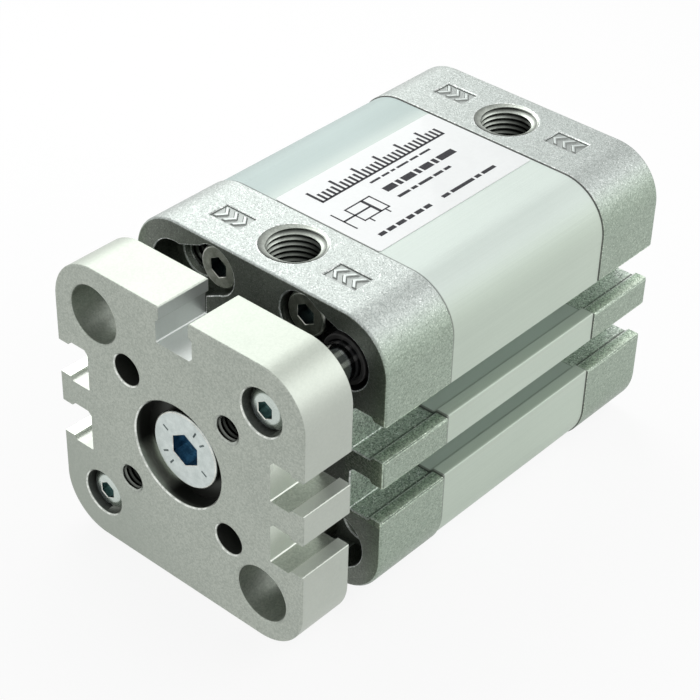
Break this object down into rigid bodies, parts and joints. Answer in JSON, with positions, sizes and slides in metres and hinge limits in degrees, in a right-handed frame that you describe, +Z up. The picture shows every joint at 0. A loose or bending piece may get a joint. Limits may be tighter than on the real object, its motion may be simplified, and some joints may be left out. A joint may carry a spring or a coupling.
{
  "type": "guided pneumatic cylinder",
  "caption": "Short square air cylinder with a yoke plate on the piston rod, kept from turning by two guide rods in the body.",
  "frame": {"origin": "centre of the rear mounting face, on the rod axis", "axes": "+X is the stroke direction, out of the rod end; +Z is up, with both ports on top"},
  "size_m": [0.0802, 0.0488, 0.0488],
  "materials": {
    "cast": "cast and tumbled",
    "anodised": "satin anodised",
    "plate": "fine blasted",
    "label": "matt film",
    "seal_rubber": "matt",
    "bumper": "matt",
    "bush": "sintered",
    "wiper": "matt",
    "zinc": "zinc plated",
    "bright_screw": "zinc plated",
    "rod_steel": "ground and polished",
    "piston": "turned",
    "magnet": "matt",
    "wear": "matt"
  },
  "bodies": {
    "body": {"rear_cap": "cast", "front_cap": "cast", "barrel": "anodised", "label": "label", "barrel_seal_rear": "seal_rubber", "barrel_seal_front": "seal_rubber", "bumper_rear": "bumper", "bumper_front": "bumper", "rod_bush": "bush", "rod_seal": "wiper", "guide_bush_upper": "bush", "guide_bush_lower": "bush", "rear_tie_screws": "zinc", "front_tie_screws": "zinc"},
    "carriage": {"yoke_plate": "plate", "yoke_screw": "bright_screw", "guide_screws": "bright_screw", "piston_rod": "rod_steel", "guide_rod_upper": "rod_steel", "guide_rod_lower": "rod_steel", "piston_half_rear": "piston", "piston_half_front": "piston", "piston_seal_rear": "seal_rubber", "piston_seal_front": "seal_rubber", "magnet_ring": "magnet", "wear_band": "wear", "piston_nut": "zinc"}
  },
  "joints": [
    {"name": "stroke", "type": "slide", "parent": "body", "child": "carriage", "axis": [1, 0, 0], "range_m": [0, 0.02]}
  ]
}
